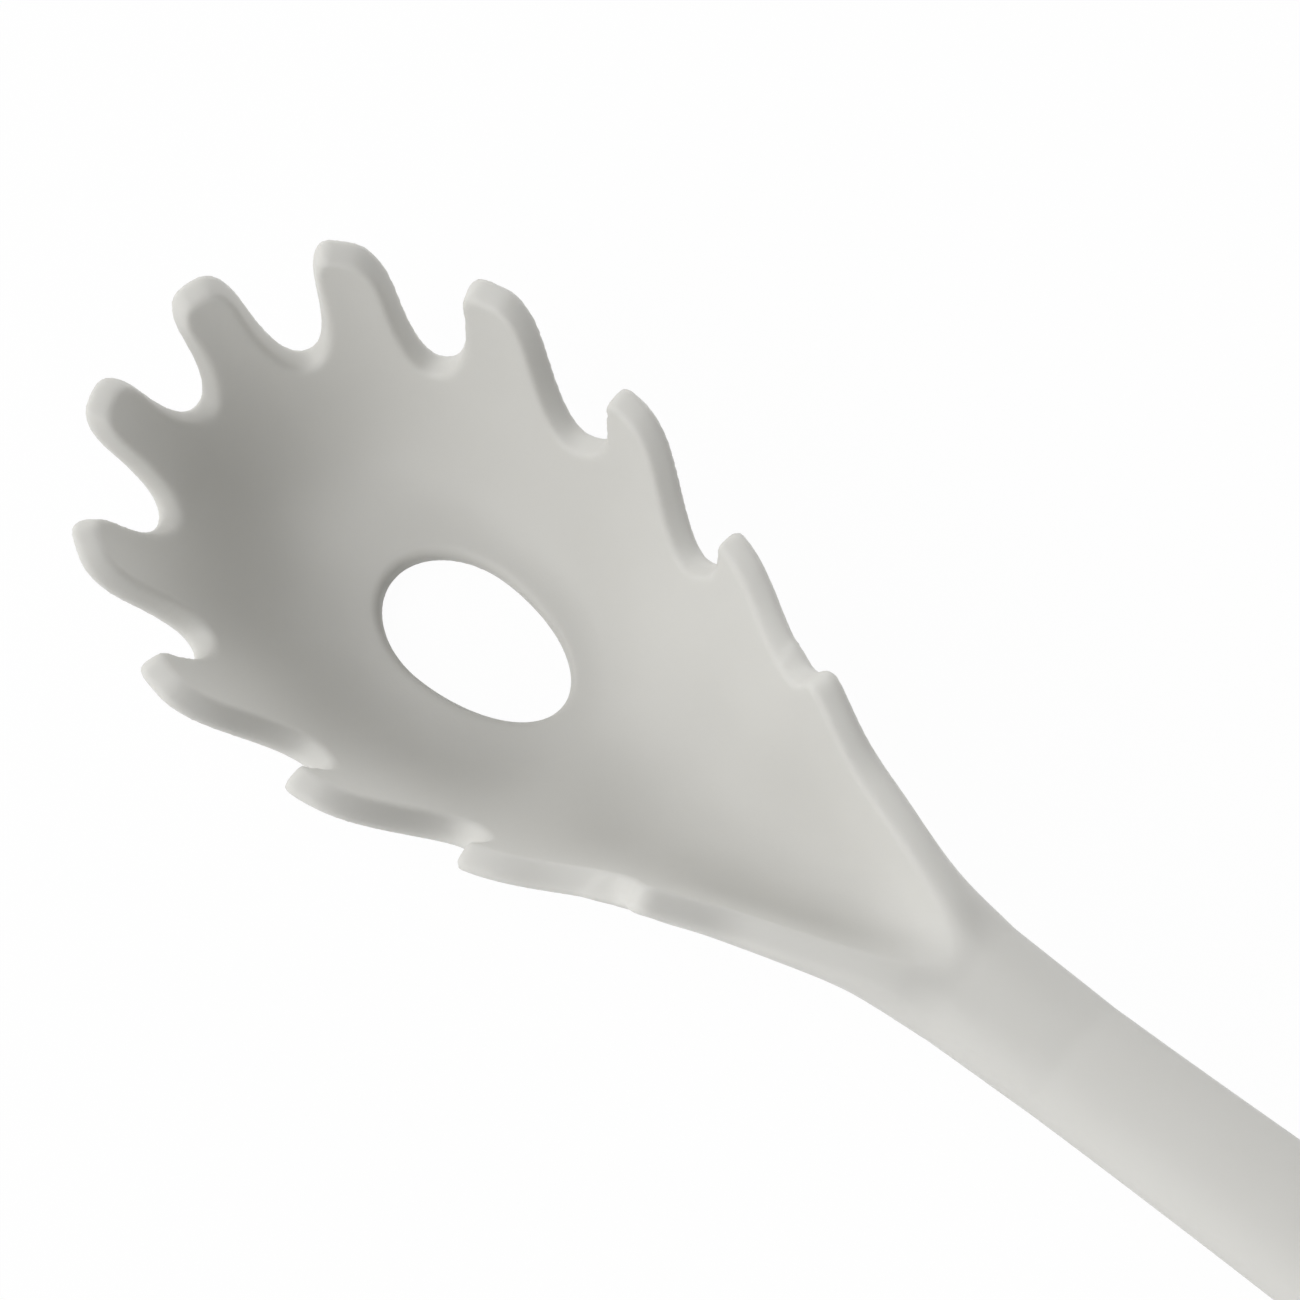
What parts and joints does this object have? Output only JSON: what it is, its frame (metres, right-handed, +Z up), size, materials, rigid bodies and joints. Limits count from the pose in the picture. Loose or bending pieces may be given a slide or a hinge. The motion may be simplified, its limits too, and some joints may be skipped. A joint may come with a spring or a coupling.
{
  "type": "pasta server",
  "caption": "Deep oval scoop with blunt tines round its rim and an egg-shaped drain hole, on a long straight handle, for lifting and draining pasta.",
  "frame": {"origin": "on the ground under the middle of the overall length, with the scoop's flat underside on z = 0", "axes": "+X along the handle, from the tip of the scoop to the hanging end; +Z up, out of the open side of the scoop; the object is symmetric about the XZ plane"},
  "size_m": [0.3222, 0.0616, 0.0607],
  "materials": {
    "silicone": "soft matte silicone, warm light grey",
    "core_nylon": "plain moulded nylon",
    "stem_steel": "rolled steel strip"
  },
  "bodies": {
    "root": {"silicone_body": "silicone", "scoop_core": "core_nylon", "handle_stem": "stem_steel"}
  },
  "joints": []
}
